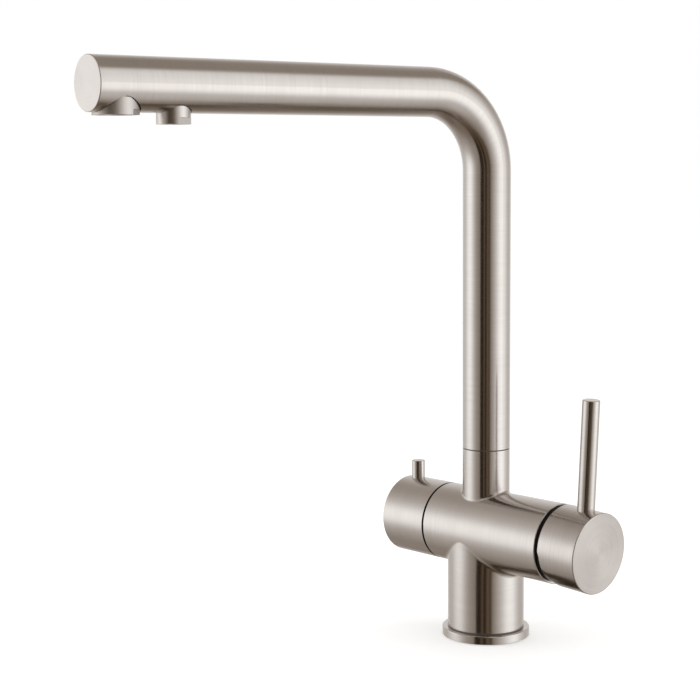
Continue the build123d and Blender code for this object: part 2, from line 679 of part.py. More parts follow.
def make_guide():
    """Sleeve that turns in the cartridge and carries the tilt axis."""
    end = pivot_x + GUIDE_RISE
    half = (pivot_x - flange_x0) * math.sin(math.radians(full_tilt)) + SHANK_R + FREE_GAP
    guide = rod_x(cavity_r - RUN_GAP, flange_x0, flange_x1)
    guide += rod_x(GUIDE_R, flange_x1, end)
    guide -= bar_x(SPINDLE_SIDE + 2 * FREE_GAP, 2 * half, flange_x0 - 1, end + 1)
    pin_length = 2 * (GUIDE_R - PIVOT_PIN_INSET)
    hole = pivot * Rot(90, 0, 0) * Cylinder(PIVOT_PIN_R + PRESS_GAP, pin_length)
    pin = pivot * Rot(90, 0, 0) * Cylinder(PIVOT_PIN_R, pin_length)
    return {"cartridge_guide": guide - hole, "pivot_pin": pin}


def make_mixing_disc():
    """Moving ceramic disc and the driver that the spindle's ball pushes along Z."""
    middle = BARREL_HEIGHT + disc_rest
    disc = rod_x(moving_r, moving_x0, driver_x0, 0, middle)
    disc -= rod_x(DISC_POCKET_R, moving_x0 - 1, moving_x0 + DISC_THICK / 2, 0, middle)
    driver = rod_x(moving_r, driver_x0, driver_x1, 0, middle)
    driver -= rod_x(BALL_R + BALL_PLAY, driver_x0 - 1, driver_x1 + 1, 0, BARREL_HEIGHT + rise_at(LEVER_LEAN))
    return {"moving_disc": disc, "disc_driver": driver}


# Mixer handle, built upright and then leaned about the tilt axis
knob_face_x = BARREL_RIGHT + MIXER_LENGTH
rim_x = BARREL_RIGHT + MIXER_GAP
hollow_r = barrel_r - KNOB_LIP
bonnet_r = hollow_r - BONNET_GAP
floor_reach = BONNET_RISE + KNOB_FLOOR_GAP
spindle_end = knob_face_x - KNOB_FRONT
lever_x = knob_face_x - LEVER_INSET


def leaned(shape):
    """The handle's rest pose, leaning about the tilt axis."""
    return pivot * Rot(0, LEVER_LEAN, 0) * pivot.inverse() * shape


def beyond(reach, degrees):
    """Everything further out than a reach from the tilt axis, as the tilted knob sees it."""
    size = 4 * barrel_r
    return pivot * Rot(0, -degrees, 0) * Pos(reach + size / 2, 0, 0) * Box(size, size, size)


def make_bonnet():
    """Ring that is round about the tilt axis, for the knob to swing over, and the black seat in its slot."""
    end = pivot_x + BONNET_RISE
    slot_x = BARREL_RIGHT + SLOT_WIDTH
    flange_x = BARREL_RIGHT + BONNET_FLANGE
    inside = pivot * Sphere(bonnet_r - BONNET_WALL)
    ring = pivot * Sphere(bonnet_r) & rod_x(barrel_r, slot_x, end)
    ring -= inside
    seat = pivot * Sphere(bonnet_r - SLOT_DEPTH) & rod_x(barrel_r, BARREL_RIGHT, slot_x)
    seat -= inside & rod_x(barrel_r, flange_x, slot_x + 1)
    seat -= rod_x(nut_r + PRESS_GAP, BARREL_RIGHT - 1, flange_x + 1)
    return {"bonnet_ring": ring, "bonnet_seat": seat}


def make_knob():
    """Cup whose hollow is what the bonnet sweeps, with the rim cut away for the tilt."""
    knob = rod_x(barrel_r, rim_x, knob_face_x)
    rim = knob.edges().filter_by(GeomType.CIRCLE).group_by(Axis.X)[-1]
    knob = fillet(rim, KNOB_EDGE)
    knob &= beyond(rim_x - pivot_x, full_tilt)
    floor = beyond(floor_reach, 0) & beyond(floor_reach, full_tilt)
    knob -= pivot * Sphere(hollow_r) - floor
    square = SPINDLE_SIDE + 2 * PRESS_GAP
    knob -= bar_x(square, square, pivot_x, spindle_end + PRESS_GAP)
    root = BARREL_HEIGHT + LEVER_ROOT
    knob -= rod_z(LEVER_D / 2 + PRESS_GAP, root, BARREL_HEIGHT + barrel_r + 1, lever_x)
    knob -= rod_z(LEVER_STUB_R + PRESS_GAP, root - LEVER_STUB - PRESS_GAP, root + 1, lever_x)
    knob -= rod_z(GRUB_R + PRESS_GAP, BARREL_HEIGHT - barrel_r - 1, BARREL_HEIGHT, knob_face_x - GRUB_INSET)
    return knob


def make_spindle():
    """Lever of the cartridge: ball, shank and square, with the hole for its axis."""
    square_x = pivot_x - SPINDLE_SIDE
    spindle = bar_x(SPINDLE_SIDE, SPINDLE_SIDE, square_x, spindle_end)
    spindle += rod_x(SHANK_R, driver_x1 + SHANK_STEP, square_x)
    spindle += rod_x(SHANK_NECK_R, ball_x, driver_x1 + SHANK_STEP)
    spindle += Pos(ball_x, 0, BARREL_HEIGHT) * Sphere(BALL_R)
    return spindle - pivot * Rot(90, 0, 0) * Cylinder(PIVOT_PIN_R + RUN_GAP, 2 * SPINDLE_SIDE)


def make_pin(diameter, x, root, top, edge):
    """Upright pin with a rounded top edge."""
    pin = rod_z(diameter / 2, BARREL_HEIGHT + root + PRESS_GAP, BARREL_HEIGHT + top, x)
    return fillet(pin.edges().group_by(Axis.Z)[-1], edge)


def make_mixer_handle():
    lever = make_pin(LEVER_D, lever_x, LEVER_ROOT, LEVER_TOP, LEVER_EDGE)
    root = BARREL_HEIGHT + LEVER_ROOT
    lever += rod_z(LEVER_STUB_R, root - LEVER_STUB, root + 1, lever_x)
    screw_top = BARREL_HEIGHT - SPINDLE_SIDE / 2 - PRESS_GAP
    screw = Pos(knob_face_x - GRUB_INSET, 0, screw_top) * grub(GRUB_LENGTH)
    return {
        "mixer_knob": leaned(make_knob()),
        "mixer_spindle": leaned(make_spindle()),
        "mixer_lever": leaned(lever),
        "mixer_grub_screw": leaned(screw),
    }


# Filter valve and its knob
filter_rim = BARREL_LEFT + FILTER_GAP
filter_face = BARREL_LEFT + FILTER_LENGTH
filter_floor = spline_v - FREE_GAP / 2


def make_valve():
    body = rod_x(VALVE_R, -BARREL_LEFT, -valve_end)
    body += hexagon_x(VALVE_HEX, -valve_hex_end, -BARREL_LEFT)
    body += rod_x(VALVE_NECK_R, -valve_neck_end, -valve_hex_end)
    body -= rod_x(VALVE_CAVITY_R, -valve_step, -valve_end + 1)
    body -= rod_x(VALVE_SPINDLE_R + RUN_GAP, -valve_neck_end - 1, -valve_step)
    body -= rod_z(VALVE_WINDOW_R, BARREL_HEIGHT - VALVE_R - 1, BARREL_HEIGHT + VALVE_R + 1, -window_v)
    seal = ring_x(VALVE_R, VALVE_PLENUM_R, -valve_end, -valve_floor)
    fixed = rod_x(VALVE_CAVITY_R - PRESS_GAP, -valve_moving + FACE_GAP, -valve_end)
    window = bar_x(VALVE_PLENUM_R, VALVE_PLENUM_R, -valve_moving - 1, -valve_end + 1)
    fixed -= Pos(0, 0, VALVE_PLENUM_R / 2 + VALVE_PORT_INSET) * window
    glide_inner = VALVE_HEX / math.sqrt(3) + FREE_GAP
    glide_outer = glide_inner + FILTER_GLIDE_WIDTH
    glide = ring_x(glide_outer, glide_inner, -BARREL_LEFT - FILTER_GAP + FREE_GAP / 2, -BARREL_LEFT)
    return {
        "valve_body": body,
        "valve_seal": seal,
        "valve_fixed_disc": fixed,
        "filter_glide_ring": glide,
    }


def make_valve_spindle():
    spindle = rod_x(VALVE_CAVITY_R - RUN_GAP, -valve_head - VALVE_HEAD, -valve_head)
    spindle += rod_x(VALVE_SPINDLE_R, -valve_neck_end, -valve_head - VALVE_HEAD)
    spindle += rod_x(SPLINE_R, -spline_end, -valve_neck_end)
    ring_v = valve_hex_end - VALVE_HEX_HEIGHT / 2
    groove_r = VALVE_SPINDLE_R - ORING_DEPTH
    seat_r = VALVE_SPINDLE_R + RUN_GAP
    width = (seat_r - groove_r) + 2 * ORING_ROOM
    spindle -= ring_x(VALVE_SPINDLE_R + 1, groove_r, -ring_v - width / 2, -ring_v + width / 2)
    ring = Pos(-ring_v, 0, BARREL_HEIGHT) * Rot(0, 90, 0) * oring(groove_r, seat_r)
    clip_groove_r = SPLINE_R - CIRCLIP_WIDTH / 3
    clip_end = circlip_v + CIRCLIP_THICK
    spindle -= ring_x(SPLINE_R + 1, clip_groove_r, -clip_end, -circlip_v)
    clip = ring_z(clip_groove_r + CIRCLIP_WIDTH, clip_groove_r + FACE_GAP, 0, CIRCLIP_THICK)
    clip = opened(clip, CIRCLIP_OPENING, clip_groove_r + CIRCLIP_WIDTH, CIRCLIP_THICK + 1)
    clip = Pos(-clip_end, 0, BARREL_HEIGHT) * Rot(0, 90, 0) * clip
    disc = rod_x(VALVE_CAVITY_R - RUN_GAP, -valve_head, -valve_moving)
    window = bar_x(VALVE_PLENUM_R, VALVE_PLENUM_R, -valve_head - 1, -valve_moving + 1)
    disc -= Pos(0, VALVE_PLENUM_R / 2 + VALVE_PORT_INSET, 0) * window
    return {
        "valve_spindle": spindle,
        "spindle_oring": ring,
        "valve_circlip": clip,
        "valve_moving_disc": disc,
    }


def make_filter_handle():
    knob = rod_x(barrel_r, -filter_face, -filter_rim)
    rim = knob.edges().filter_by(GeomType.CIRCLE).group_by(Axis.X)[0]
    knob = fillet(rim, KNOB_EDGE)
    knob -= rod_x(barrel_r - FILTER_WALL, -filter_floor, -filter_rim + 1)
    knob -= rod_x(SPLINE_R + PRESS_GAP, -spline_end - PRESS_GAP, -filter_floor + 1)
    pin_x = -filter_face + PIN_INSET
    top = BARREL_HEIGHT + barrel_r + 1
    knob -= rod_z(PIN_D / 2 + PRESS_GAP, BARREL_HEIGHT + PIN_ROOT, top, pin_x)
    screw_x = -filter_face + FILTER_GRUB_INSET
    knob -= rod_z(GRUB_R + PRESS_GAP, BARREL_HEIGHT - barrel_r - 1, BARREL_HEIGHT, screw_x)
    pin = make_pin(PIN_D, pin_x, PIN_ROOT, PIN_TOP, PIN_EDGE)
    screw = Pos(screw_x, 0, BARREL_HEIGHT - SPLINE_R - PRESS_GAP) * grub(GRUB_LENGTH)
    return {"filter_knob": knob, "filter_pin": pin, "filter_grub_screw": screw}


pieces = {}
for make in (make_base, make_casting, make_swivel, make_cartridge, make_guide, make_mixing_disc):
    pieces.update(make())
for make in (make_bonnet, make_mixer_handle, make_valve, make_valve_spindle, make_filter_handle):
    pieces.update(make())

swing = Rot(0, 0, SPOUT_SWING)
for make in (make_spout_shell, make_aerator, make_nozzle, make_hose):
    for name, shape in make().items():
        pieces[name] = swing * shape

for name, shape in pieces.items():
    export_step(shape, f"parts/{name}.step")
    print(name, round(shape.volume))
print(f"moving disc travels {disc_travel:.3f} mm over {LEVER_TRAVEL} degrees, tilt axis at x {pivot_x}")
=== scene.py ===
# %% [markdown]
# # A three-way kitchen faucet in brushed steel
#
# This faucet mixes hot and cold water with the lever knob on its right and gives filtered water with the small knob
# on its left. Each water has its own outlet under the end of the tall spout. The CAD model already holds every solid
# piece at its true place, so this lesson adds what solids don't have: the brushed finish, the other materials, a
# small photo studio and the camera. Everything is in metres, with the origin under the base ring.

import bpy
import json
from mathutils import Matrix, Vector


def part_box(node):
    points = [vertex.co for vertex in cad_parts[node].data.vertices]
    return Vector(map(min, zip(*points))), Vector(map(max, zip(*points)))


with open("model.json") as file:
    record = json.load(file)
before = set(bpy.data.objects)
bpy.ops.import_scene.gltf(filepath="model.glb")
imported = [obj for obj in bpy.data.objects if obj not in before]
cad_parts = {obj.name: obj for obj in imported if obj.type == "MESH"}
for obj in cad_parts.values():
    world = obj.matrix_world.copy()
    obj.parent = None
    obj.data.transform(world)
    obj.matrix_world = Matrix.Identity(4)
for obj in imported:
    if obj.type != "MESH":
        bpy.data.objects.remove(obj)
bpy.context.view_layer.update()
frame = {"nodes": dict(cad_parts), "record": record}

# %% [markdown]
# ## The camera
#
# The picture was taken with a long lens from the front right, a little above the barrel. A camera can be placed by
# eye, but edges then miss by many pixels. Here its place, its three turns and its focal length were found by
# matching the outlines of the tube, the knobs and the ring, so the numbers are exact and the framing needs no shift.

# %% Camera
import bpy
import math
from mathutils import Matrix, Vector

IMAGE_SIDE = 700
SENSOR = 36.0
FOCAL_PIXELS = 1609.614
EYE = Vector((0.634386, -0.704061, 0.281359))
YAW = math.radians(46.896)
PITCH = math.radians(-6.617)
ROLL = math.radians(-0.423)

ahead = Vector((-math.sin(YAW) * math.cos(PITCH), math.cos(YAW) * math.cos(PITCH), math.sin(PITCH)))
level_right = Vector((math.cos(YAW), math.sin(YAW), 0.0))
level_up = level_right.cross(ahead)
right = level_right * math.cos(ROLL) + level_up * math.sin(ROLL)
up = level_up * math.cos(ROLL) - level_right * math.sin(ROLL)

lens = bpy.data.cameras.new("camera")
lens.sensor_width = SENSOR
lens.lens = FOCAL_PIXELS * SENSOR / IMAGE_SIDE
camera = bpy.data.objects.new("camera", lens)
camera.matrix_world = Matrix((right, up, -ahead)).transposed().to_4x4()
camera.location = EYE
bpy.context.scene.collection.objects.link(camera)
bpy.context.scene.camera = camera
bpy.context.scene.view_settings.view_transform = "Standard"
print("lens", round(lens.lens, 1), "mm at", [round(v, 3) for v in EYE])

# %% [markdown]
# ## Floor and white background
#
# The faucet stands on a pale floor before white. A lamp strong enough to burn the background out would burn the steel
# too, so the white is given to the rays that look at it: the Light Path node tells camera, mirror and glass rays from
# the rays that carry light. The floor keeps an ordinary pale colour underneath, so the faucet's soft shadow stays on
# it.

# %% Helpers that add shader nodes
def add(tree, kind, sockets=None, **settings):
    """Adds a node. A socket takes a plain value, or another node's output to link."""
    made = tree.nodes.new(kind)
    for name, value in settings.items():
        setattr(made, name, value)
    for name, value in (sockets or {}).items():
        if isinstance(value, bpy.types.NodeSocket):
            tree.links.new(value, made.inputs[name])
        else:
            made.inputs[name].default_value = value
    return made


def math_of(tree, operation, *values):
    """Result of one Math node."""
    return add(tree, "ShaderNodeMath", dict(enumerate(values)), operation=operation).outputs[0]


def looking_rays(tree):
    """1 for rays that look at a surface directly, in a mirror or through glass."""
    path = add(tree, "ShaderNodeLightPath")
    mirrored = math_of(tree, "MAXIMUM", path.outputs["Is Glossy Ray"], path.outputs["Is Transmission Ray"])
    return math_of(tree, "MAXIMUM", path.outputs["Is Camera Ray"], mirrored)


def empty_material(name):
    """A material with only its output node."""
    made = bpy.data.materials.new(name)
    made.use_nodes = True
    made.node_tree.nodes.clear()
    output = made.node_tree.nodes.new("ShaderNodeOutputMaterial")
    return made, made.node_tree, output.inputs["Surface"]


print("helpers ready")

# %% Floor
FLOOR_SIDE = 12.0
FLOOR_DROP = 0.0004  # keeps it just clear of the ring
FLOOR_GLOW = 0.30
FLOOR_TONES = ((0.88, 0.88, 0.87, 1.0), (0.92, 0.92, 0.91, 1.0))

floor_paint, tree, surface = empty_material("pale_floor")
mottle = add(tree, "ShaderNodeTexNoise", {"Scale": 3.0, "Detail": 4.0})
floor_tone = add(tree, "ShaderNodeValToRGB", {"Fac": mottle.outputs[0]})
for mark, colour in zip(floor_tone.color_ramp.elements, FLOOR_TONES):
    mark.color = colour
matt = add(tree, "ShaderNodeBsdfDiffuse", {"Color": floor_tone.outputs["Color"]})
glow_level = math_of(tree, "MULTIPLY", looking_rays(tree), FLOOR_GLOW)
glow = add(tree, "ShaderNodeEmission", {"Strength": glow_level})
both = add(tree, "ShaderNodeAddShader", {0: matt.outputs[0], 1: glow.outputs[0]})
tree.links.new(both.outputs[0], surface)

half = FLOOR_SIDE / 2
floor_corners = [(-half, -half, 0), (half, -half, 0), (half, half, 0), (-half, half, 0)]
floor_mesh = bpy.data.meshes.new("floor")
floor_mesh.from_pydata(floor_corners, [], [(0, 1, 2, 3)])
floor_mesh.materials.append(floor_paint)
floor = bpy.data.objects.new("floor", floor_mesh)
floor.location.z = -FLOOR_DROP
bpy.context.scene.collection.objects.link(floor)
print("floor", FLOOR_SIDE, "m square")

# %% White surroundings
AMBIENT = 0.80
WHITE = (1.0, 1.0, 1.0, 1.0)


def ranged(tree, value, low, high, to_low=0.0, to_high=1.0, smooth=False):
    """Carries a value from one range over to another and keeps it within."""
    ends = {"Value": value, "From Min": low, "From Max": high, "To Min": to_low, "To Max": to_high}
    shape = "SMOOTHSTEP" if smooth else "LINEAR"
    return add(tree, "ShaderNodeMapRange", ends, interpolation_type=shape).outputs["Result"]


world = bpy.data.worlds.new("studio")
bpy.context.scene.world = world
world.use_nodes = True
tree = world.node_tree
tree.nodes.clear()
world_level = ranged(tree, looking_rays(tree), 0.0, 1.0, AMBIENT, 1.0)
white = add(tree, "ShaderNodeBackground", {"Color": WHITE, "Strength": world_level})
add(tree, "ShaderNodeOutputWorld", {"Surface": white.outputs[0]})
print("world gives", AMBIENT, "of light and looks white")

# %% [markdown]
# ## A tent of cloth for the steel to mirror
#
# Brushed metal has almost no colour of its own: what we see on it is the room. A product photographer therefore hangs
# a round tent of grey cloth about the piece, lights one bright panel on its left and one on its right, and leaves a
# black flag around the camera. The two bright stripes and the dark stripe on every upright tube are these. The panels
# are brightest level with the piece and fade upwards and downwards, which shapes the lying barrel and the spout. The
# tent is there for mirrors only: the camera looks through it, and its lower half shows in place of the floor.

# %% A sheet with a brightness at every point
DARK_TINT = (1.45, 0.84, 0.40, 1.0)
TINT_MARKS = (
    (0.16, (1.13, 0.875, 0.64, 1.0)),
    (0.30, (1.06, 0.92, 0.79, 1.0)),
    (0.45, (1.03, 0.94, 0.86, 1.0)),
    (0.75, (1.01, 0.975, 0.945, 1.0)),
)


def glowing_cloth(name, points, faces, levels):
    """Mesh that mirrors see, as bright as the level stored at each point, and browner where it is darker."""
    mesh = bpy.data.meshes.new(name)
    mesh.from_pydata(points, [], faces)
    stored = mesh.attributes.new("level", "FLOAT", "POINT")
    stored.data.foreach_set("value", levels)
    cloth, tree, surface = empty_material(name)
    level = add(tree, "ShaderNodeAttribute", attribute_name="level").outputs["Fac"]
    tint = add(tree, "ShaderNodeValToRGB", {"Fac": level})
    marks = tint.color_ramp.elements
    marks[0].color = DARK_TINT
    marks[1].color = WHITE
    for place, colour in TINT_MARKS:
        marks.new(place).color = colour
    shine = add(tree, "ShaderNodeEmission", {"Color": tint.outputs["Color"], "Strength": level})
    tree.links.new(shine.outputs[0], surface)
    mesh.materials.append(cloth)
    sheet = bpy.data.objects.new(name, mesh)
    bpy.context.scene.collection.objects.link(sheet)
    sheet.visible_camera = False
    sheet.visible_diffuse = False
    sheet.visible_transmission = False
    sheet.visible_shadow = False


print("cloth builder ready")

# %% Panels from marks of brightness
import numpy as np

TENT_RADIUS = 5.0
TENT_MIDDLE = Vector((0.0, 0.0, 0.19))
TOP_ROW = 60.0  # above it a panel is one grey
LEAST_STRETCH = 0.5
CAMERA_BEARING = math.atan2(EYE.y, EYE.x)


def softened(marks, step=2.0, blur=7):
    """Marks of (degrees, values) at even steps, with their corners rounded over a few steps."""
    degrees = np.array([mark[0] for mark in marks], float)
    even = np.arange(degrees[0], degrees[-1] + step / 2, step)
    reach = blur // 2 * step
    wide = np.arange(degrees[0] - reach, degrees[-1] + reach + step / 2, step)
    columns = [np.convolve(np.interp(wide, degrees, values), np.ones(blur) / blur, "valid")
               for values in list(zip(*marks))[1:]]
    return [tuple(float(v) for v in mark) for mark in zip(even, *columns)]


def quads(columns, rows):
    """Faces of a grid whose points are stored row by row."""
    return [
        (r * columns + c, r * columns + c + 1, (r + 1) * columns + c + 1, (r + 1) * columns + c)
        for r in range(rows - 1)
        for c in range(columns - 1)
    ]


def tent_panel(name, stops, rows, radius=TENT_RADIUS, slope=0.0, level_at=0.0):
    """Part of a sphere. Stops are (degrees right of the camera, level). Rows are (degrees up, grey, share of the
    level). With a slope, the rows above the horizon sink to the right of the bearing level_at."""
    points, levels = [], []
    for rise, grey, share in rows:
        for degrees, level in stops:
            stretch = 1.0
            if 0.0 < rise < TOP_ROW:
                stretch = min(max(1.0 - slope * (degrees - level_at), LEAST_STRETCH), 90.0 / TOP_ROW)
            lift = math.radians(rise * stretch)
            turn = CAMERA_BEARING + math.radians(degrees)
            flat = Vector((math.cos(turn), math.sin(turn), 0.0)) * math.cos(lift)
            points.append(TENT_MIDDLE + (flat + Vector((0.0, 0.0, math.sin(lift)))) * radius)
            levels.append(grey + (level - grey) * share)
    glowing_cloth(name, points, quads(len(stops), len(rows)), levels)
    print(name, "from", stops[0][0], "to", stops[-1][0], "degrees")


# %% The bright panels on the left and the right
left_stops = [
    (-150, 0.80), (-132, 0.76), (-118, 0.90), (-108, 1.18), (-99, 1.42), (-84, 1.53), (-74, 1.20), (-64, 0.79),
    (-52, 0.49), (-41, 0.35), (-30, 0.27),
]
left_rows = [
    (-90, 0.18, 0.0), (-60, 0.22, 0.05), (-48, 0.30, 0.10), (-40, 0.36, 0.14), (-34, 0.38, 0.18),
    (-28, 0.38, 0.26), (-22, 0.38, 0.44), (-16, 0.38, 0.74), (-8, 0.38, 0.96), (2, 0.38, 1.0), (10, 0.38, 0.93),
    (19, 0.38, 0.58), (30, 0.38, 0.27), (43, 0.39, 0.14), (50, 0.40, 0.07), (60, 0.34, 0.0), (90, 0.28, 0.0),
]
right_stops = [
    (18, 0.22), (30, 0.50), (41, 0.74), (52, 1.02), (63, 1.42), (74, 1.62), (86, 1.62), (98, 1.26), (113, 0.87),
    (132, 0.68), (150, 0.78),
]
right_rows = [
    (-90, 0.15, 0.0), (-66, 0.18, 0.10), (-59, 0.22, 0.20), (-54, 0.25, 0.26), (-49, 0.27, 0.31),
    (-42, 0.30, 0.33), (-35, 0.30, 0.34), (-28, 0.30, 0.47), (-21, 0.30, 0.77), (-14, 0.30, 0.96),
    (-6, 0.30, 1.0), (0, 0.30, 0.96), (7, 0.30, 0.83), (19, 0.30, 0.68), (33, 0.30, 0.60), (45, 0.30, 0.46),
    (52, 0.31, 0.0), (60, 0.33, 0.0), (90, 0.33, 0.0),
]
tent_panel("left_panel", softened(left_stops), softened(left_rows))
tent_panel("right_panel", softened(right_stops), softened(right_rows), slope=0.013, level_at=96.0)

# %% The grey back and the flag around the camera
back_stops = [(150, 0.78), (165, 0.88), (180, 0.92), (195, 0.88), (210, 0.80)]
back_rows = [
    (-90, 0.15, 0.0), (-60, 0.18, 0.0), (-45, 0.24, 0.0), (-25, 0.34, 0.6), (0, 0.36, 1.0), (30, 0.38, 0.7),
    (47, 0.38, 0.0), (57, 0.32, 0.0), (90, 0.28, 0.0),
]
flag_stops = [
    (-30, 0.015), (-15, 0.015), (-13, 0.11), (-8, 0.11), (-7, 0.015), (0, 0.015), (2, 0.12), (10, 0.12),
    (11, 0.05), (15, 0.05), (18, 0.16),
]
flag_rows = [
    (-90, 0.15, 0.0), (-60, 0.16, 0.6), (-40, 0.16, 1.0), (22, 0.20, 1.0), (32, 0.30, 0.6), (44, 0.40, 0.0),
    (60, 0.34, 0.0), (90, 0.28, 0.0),
]
tent_panel("back_panel", softened(back_stops), softened(back_rows))
tent_panel("camera_flag", flag_stops, softened(flag_rows))

# %% [markdown]
# ## Smaller cloths before the panels
#
# A photographer trims the picture with small cloths, each hung a little nearer than the last. A dark strip low on the
# far right draws the edge under the spout. A pale canopy keeps the upper faces light when the faucet is seen from
# other sides. A dark hood over the camera hangs before the canopy: the neck mirrors it and the barrel mirrors the
# neck, which makes the dark streak beside the neck's foot. Painting that streak on the barrel would be wrong as soon
# as the camera moves.

# %% Strip, canopy and hood
strip_stops = [(120, 0.20), (131, 0.12), (149, 0.12), (160, 0.20)]
strip_rows = [(-70, 0.17, 0.0), (-64, 0.17, 1.0), (-49, 0.22, 1.0), (-43, 0.26, 0.0)]
canopy_stops = [(-58, 0.45), (-46, 0.80), (-30, 1.0), (20, 1.0), (32, 0.85), (42, 0.60)]
canopy_rows = [
    (26, 0.20, 0.1), (34, 0.40, 0.6), (42, 0.40, 1.0), (66, 0.40, 1.0), (78, 0.40, 0.6), (86, 0.33, 0.0),
]
hood_stops = [(-36, 0.50), (-30, 0.02), (13, 0.02), (20, 0.40)]
hood_rows = [(26, 0.30, 0.5), (31, 0.10, 1.0), (63, 0.10, 1.0), (71, 0.70, 0.0)]
tent_panel("right_strip", strip_stops, strip_rows, TENT_RADIUS * 0.98)
tent_panel("front_canopy", softened(canopy_stops), softened(canopy_rows), TENT_RADIUS * 0.97)
tent_panel("camera_hood", hood_stops, hood_rows, TENT_RADIUS * 0.96)

# %% [markdown]
# ## Painted shade at the foot
#
# The floor is left out of the mirrors. A small dark disc under the ring, seen only in mirrors, is painted shade:
# it stands for the shaded floor at the faucet's foot, so the ring still darkens towards its foot.

# %% Dark disc under the ring
SHADE_DISC_RADIUS = 0.035
SHADE_DISC_DEPTH = 0.03
SHADE_DISC_LEVEL = 0.02
SHADE_DISC_CORNERS = 24

dark_disc_points = []
for corner in range(SHADE_DISC_CORNERS):
    turn = corner * 2 * math.pi / SHADE_DISC_CORNERS
    dark_disc_points.append((SHADE_DISC_RADIUS * math.cos(turn), SHADE_DISC_RADIUS * math.sin(turn), -SHADE_DISC_DEPTH))
# Painted shade: a dark disc, seen only in mirrors, stands for the shaded floor at the faucet's foot.
glowing_cloth("painted_shade_under_ring", dark_disc_points, [tuple(range(SHADE_DISC_CORNERS))], [SHADE_DISC_LEVEL] * SHADE_DISC_CORNERS)
floor.visible_glossy = False
print("shade_disc", 2 * SHADE_DISC_RADIUS, "m across")

# %% [markdown]
# ## Two soft lamps
#
# The tent is what the steel mirrors. The matt pieces, the gaskets and the floor need real light, so one large area
# lamp stands before each bright panel. The lamps are hidden from mirrors, where the panels already stand for them.

# %% Lamps before the panels
LAMP_SIDE = 0.9
LAMP_DISTANCE = 1.25
LAMP_HEIGHT = 0.75
LAMP_WATTS = 5.0
LAMP_COLOUR = (1.0, 0.985, 0.97)
LAMP_TARGET = Vector((0.0, 0.0, 0.15))

for name, degrees in (("left_lamp", -92), ("right_lamp", 84)):
    turn = CAMERA_BEARING + math.radians(degrees)
    light = bpy.data.lights.new(name, "AREA")
    light.shape = "SQUARE"
    light.size = LAMP_SIDE
    light.energy = LAMP_WATTS
    light.color = LAMP_COLOUR
    lamp = bpy.data.objects.new(name, light)
    lamp.location = (LAMP_DISTANCE * math.cos(turn), LAMP_DISTANCE * math.sin(turn), LAMP_HEIGHT)
    lamp.rotation_euler = (LAMP_TARGET - lamp.location).to_track_quat("-Z", "Y").to_euler()
    lamp.visible_glossy = False
    bpy.context.scene.collection.objects.link(lamp)
    print(name, LAMP_WATTS, "W")

# %% [markdown]
# ## Brushed steel
#
# The visible pieces were turned or ground and then brushed with fine abrasive while they spun, so the scratches run
# around them. That shows in three ways: thin lines of slightly different tone, a roughness that differs from line to
# line, and a highlight that is pulled out across the lines. One noise texture gives the first two when its
# coordinates are squeezed along the scratches and stretched across them, and the shader's anisotropy gives the third.
# An image could hold such lines too, but it needs an unwrapped mesh and would show its pixels in a close look.

# %% Scratches from one coordinate
FINE_LINES, WIDE_LINES, CLOUDS = 5200.0, 900.0, 70.0  # noise cells in a metre
LINE_DRIFT = 0.010  # how fast a line changes along itself
NOISE_RANGE = (0.3, 0.7)  # where most values of a noise lie


def scaled(tree, vector, factor):
    """A vector times a number."""
    return add(tree, "ShaderNodeVectorMath", {0: vector, "Scale": factor}, operation="SCALE").outputs["Vector"]


def noise_of(tree, place, scale, detail, roughness=0.5):
    """Value of a noise texture."""
    sockets = {"Vector": place, "Scale": scale, "Detail": detail, "Roughness": roughness}
    return add(tree, "ShaderNodeTexNoise", sockets).outputs[0]


def weighted(tree, *pairs):
    """Sum of values, each times its weight."""
    total = 0.0
    for value, weight in pairs:
        total = math_of(tree, "MULTIPLY_ADD", value, weight, total)
    return total


def scratches(tree, across, place):
    """Tone and relief of brush lines. Across runs from line to line, place breaks the lines up slowly."""
    drift = add(tree, "ShaderNodeSeparateXYZ", {0: scaled(tree, place, LINE_DRIFT)})
    slow = math_of(tree, "ADD", drift.outputs["X"], drift.outputs["Z"])
    line_place = add(tree, "ShaderNodeCombineXYZ", {0: across, 1: slow, 2: drift.outputs["Y"]}).outputs[0]
    fine = noise_of(tree, line_place, FINE_LINES, 2.0, 0.6)
    wide = noise_of(tree, line_place, WIDE_LINES, 3.0, 0.55)
    cloud = noise_of(tree, place, CLOUDS, 2.0)
    tone = weighted(tree, (fine, 0.55), (wide, 0.25), (cloud, 0.20))
    relief = weighted(tree, (fine, 0.7), (wide, 0.3))
    return tone, relief


print("finest lines", round(1000 / FINE_LINES, 2), "mm apart")

# %% Steel from the scratches
STEEL_LIGHT = (0.640, 0.605, 0.577, 1.0)
STEEL_DARK = (0.575, 0.538, 0.508, 1.0)
STEEL_ROUGHNESS = 0.205
LINE_ROUGHNESS = 0.035  # more in dark lines, less in light ones
STEEL_PULL = 0.65  # anisotropy
TONE_RANGE = (0.32, 0.68)  # from the dark to the light colour
LINE_STRENGTH, LINE_DEPTH = 0.12, 0.00001
MIX_SOCKETS = {"FLOAT": (2, 3, 0), "VECTOR": (4, 5, 1), "RGBA": (6, 7, 2)}  # two inputs and the output


def mixed(tree, kind, share, first, second):
    """The first value where the share is 0 and the second where it is 1."""
    start, end, result = MIX_SOCKETS[kind]
    return add(tree, "ShaderNodeMix", {0: share, start: first, end: second}, data_type=kind).outputs[result]


